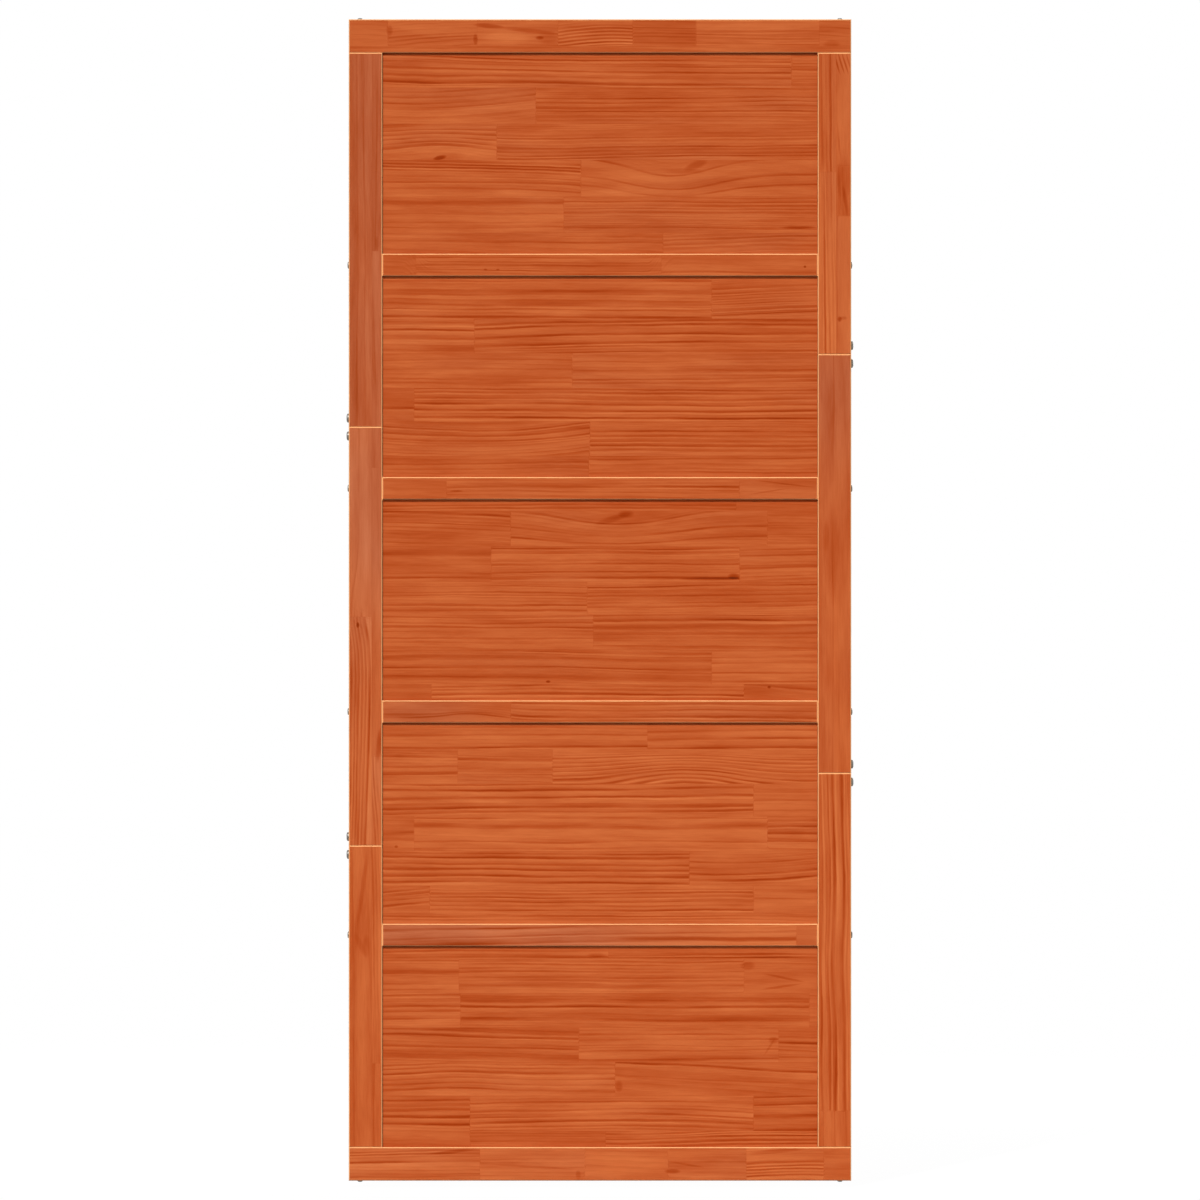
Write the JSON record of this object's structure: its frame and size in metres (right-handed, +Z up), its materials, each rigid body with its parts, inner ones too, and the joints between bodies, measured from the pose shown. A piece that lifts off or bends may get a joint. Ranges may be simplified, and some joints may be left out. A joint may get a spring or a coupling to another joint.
{
  "type": "five-panel sliding barn door leaf",
  "caption": "Tall sliding barn door leaf with flat recessed board panels stacked between slim rails and pieced side stiles.",
  "frame": {"origin": "the middle of the top rail's front face, where the hangers are bolted", "axes": "+X to the right seen from the front, +Y to the back through the thickness, +Z up"},
  "size_m": [0.9, 0.03, 2.08],
  "materials": {
    "frame_wood": "satin orange-brown stain on pine",
    "panel_wood": "satin orange-brown stain on edge-glued pine boards",
    "fastener_steel": "dull grey zinc plate"
  },
  "bodies": {
    "root": {"top_rail": "frame_wood", "bottom_rail": "frame_wood", "mid_rail_1": "frame_wood", "mid_rail_2": "frame_wood", "mid_rail_3": "frame_wood", "mid_rail_4": "frame_wood", "left_stile_top": "frame_wood", "left_stile_middle": "frame_wood", "left_stile_bottom": "frame_wood", "right_stile_top": "frame_wood", "right_stile_middle": "frame_wood", "right_stile_bottom": "frame_wood", "panel_1": "panel_wood", "panel_2": "panel_wood", "panel_3": "panel_wood", "panel_4": "panel_wood", "panel_5": "panel_wood"}
  },
  "joints": []
}
